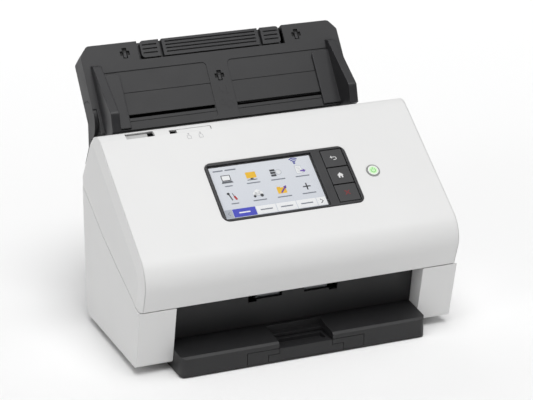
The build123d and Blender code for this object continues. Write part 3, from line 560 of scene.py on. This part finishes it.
def draw_tray():
    """Latch clips in the cross-shaped holes and the shallow signs on the tray's spine."""
    for k, (cx, s) in enumerate(LATCHES):
        cross = [box_outline((cx - 4.45, cx + 4.45), (s - 1.95, s + 1.95)),
                 box_outline((cx - 2.15, cx + 2.15), (s - 4.95, s + 4.95))]
        # Near-black cross sheet below the tray face: painted shade in the depth of the latch hole.
        flat_mark("latch_hole_shade_%d" % k, TRAY, cross, WELL_LEVEL, "hole_shade_and_joint", "tray", 0.06)
        verts, faces = slab_mesh([round_box((cx, s - 1.2), (2.6, 6.2), 0.8)], CLIP_FOOT, -0.25)
        make_piece("latch_clip_%d" % k, TRAY, verts, faces, "clip", "tray")
        verts, faces = slab_mesh([box_outline((cx - 1.3, cx + 1.3), (s + 0.6, s + 1.5))], CLIP_FOOT, -0.05)
        make_piece("latch_hook_%d" % k, TRAY, verts, faces, "clip", "tray")
    signs = [stroke([(-3.2, 33.5), (-3.2, 27.0), (-0.4, 27.0), (-0.4, 24.4)], 0.5),
             stroke([(3.4, 33.0), (3.4, 26.6), (5.4, 24.4), (1.6, 24.4), (3.4, 26.4)], 0.5),
             stroke(arc((4.2, 13.4), 3.6, 0, 359, 24), 0.5),
             stroke([(2.2, 11.0), (6.2, 15.8)], 0.5), sheet_mark(-2.8, 16.0, (1.8, 2.6))]
    flat_mark("spine_signs", TRAY, signs, 0.0, "sign", "tray", 0.04)


# ---------------------------------------------------------------- rear wall

SLOT_ROWS = 3
SLOTS_IN_ROW = 10
SEAM_HALF = 124
SCREWS = ((-116, 22), (116, 22), (-116, 100), (116, 100))


def rear_mark(name, outlines, level, look, thick):
    flat_mark("rear_" + name, REAR, outlines, level, look, "base", thick)


def draw_rear():
    """Cooling slots, parting lines, a blank plate and screws on the rear wall; the slots and the screw and
    cross recesses are flat near-black marks of painted shade.
    """
    slots = []
    for row in range(SLOT_ROWS):
        slots += [round_box((-96 + 8 * k, 58 + 17 * row), (2.6, 12.0), 1.2) for k in range(SLOTS_IN_ROW)]
    # Slots are flat near-black marks: painted shade in place of the openings.
    rear_mark("slots", slots, 0.0, "hole_shade_and_joint", 0.04)
    seams = [box_outline((-SEAM_HALF, SEAM_HALF), (z, z + 0.5)) for z in (14.0, 108.0)]
    rear_mark("seam", seams, 0.0, "hole_shade_and_joint", 0.04)
    rear_mark("plate", [round_box((-4, 66), (52, 30), 2.0)], 0.0, "bezel", 0.12)
    for k, spot in enumerate(SCREWS):
        # Near-black disc and cross: painted shade in the screw recess and its cross slot.
        rear_mark("screw_well_%d" % k, [disc(spot, 4.2, 32)], 0.0, "hole_shade_and_joint", 0.04)
        rear_mark("screw_%d" % k, [disc(spot, 3.0, 32)], 0.04, "steel", 0.5)
        rear_mark("cross_%d" % k, cross_outlines(spot, 1.9, 0.4), 0.54, "hole_shade_and_joint", 0.03)


draw_shell_marks()
draw_tray()
draw_rear()

# ---------------------------------------------------------------- camera, light and floor

VIEW_TARGET = Vector((7.7, SHIFT_Y, 109.2)) * MM
VIEW_DISTANCE = 1.8488
VIEW_AZ = math.radians(-22.85)
VIEW_EL = math.radians(20.0)
LENS = 138.9
FLOOR_HALF = 6.0
FLOOR_WHITE = 0.88
WORLD_STRENGTH = 0.2
SKY_STRENGTH = 2.45
SKY_SPREAD = math.radians(45)
SKY_DIRECTION = (-0.05, -0.3, 0.95)
AREAS = (
    ("left", (-2.3, -1.0, 1.1), (0.8, 1.2), 9.0),
    ("right", (2.2, 0.2, 1.0), (1.6, 1.4), 7.0),
    ("back", (0.2, 2.0, 1.4), (1.8, 1.2), 8.0),
)
AREA_AIM = (0, 0, 0.1)


def add_camera():
    data = bpy.data.cameras.new("camera")
    data.lens = LENS
    data.sensor_width = 36.0
    data.clip_end = 20.0
    cam = bpy.data.objects.new("camera", data)
    bpy.context.scene.collection.objects.link(cam)
    level = math.cos(VIEW_EL)
    back = Vector((math.sin(VIEW_AZ) * level, -math.cos(VIEW_AZ) * level, math.sin(VIEW_EL)))
    cam.location = VIEW_TARGET + back * VIEW_DISTANCE
    cam.rotation_euler = back.to_track_quat("Z", "Y").to_euler()
    bpy.context.scene.camera = cam


def add_area(name, spot, size, power):
    data = bpy.data.lights.new(name, "AREA")
    data.shape = "RECTANGLE"
    data.size, data.size_y = size
    data.energy = power
    light = bpy.data.objects.new(name, data)
    bpy.context.scene.collection.objects.link(light)
    light.location = spot
    light.rotation_euler = (Vector(spot) - Vector(AREA_AIM)).to_track_quat("Z", "Y").to_euler()


def add_floor():
    mesh = bpy.data.meshes.new("floor")
    s = FLOOR_HALF
    mesh.from_pydata([(-s, -s, 0), (s, -s, 0), (s, s, 0), (-s, s, 0)], [], [(0, 1, 2, 3)])
    floor = bpy.data.objects.new("floor", mesh)
    bpy.context.scene.collection.objects.link(floor)
    pale, _, _ = new_material("pale_floor", (FLOOR_WHITE, FLOOR_WHITE, FLOOR_WHITE), 0.8)
    floor.data.materials.append(pale)


def add_light():
    world = bpy.data.worlds.new("studio")
    world.use_nodes = True
    background = world.node_tree.nodes["Background"]
    background.inputs["Color"].default_value = (1, 1, 1, 1)
    background.inputs["Strength"].default_value = WORLD_STRENGTH
    bpy.context.scene.world = world
    data = bpy.data.lights.new("sky", "SUN")
    data.energy = SKY_STRENGTH
    data.angle = SKY_SPREAD
    sky = bpy.data.objects.new("sky", data)
    bpy.context.scene.collection.objects.link(sky)
    sky.rotation_euler = Vector(SKY_DIRECTION).to_track_quat("Z", "Y").to_euler()
    for name, spot, size, power in AREAS:
        add_area(name, spot, size, power)


add_camera()
add_floor()
add_light()
bpy.context.scene.view_settings.view_transform = "Standard"
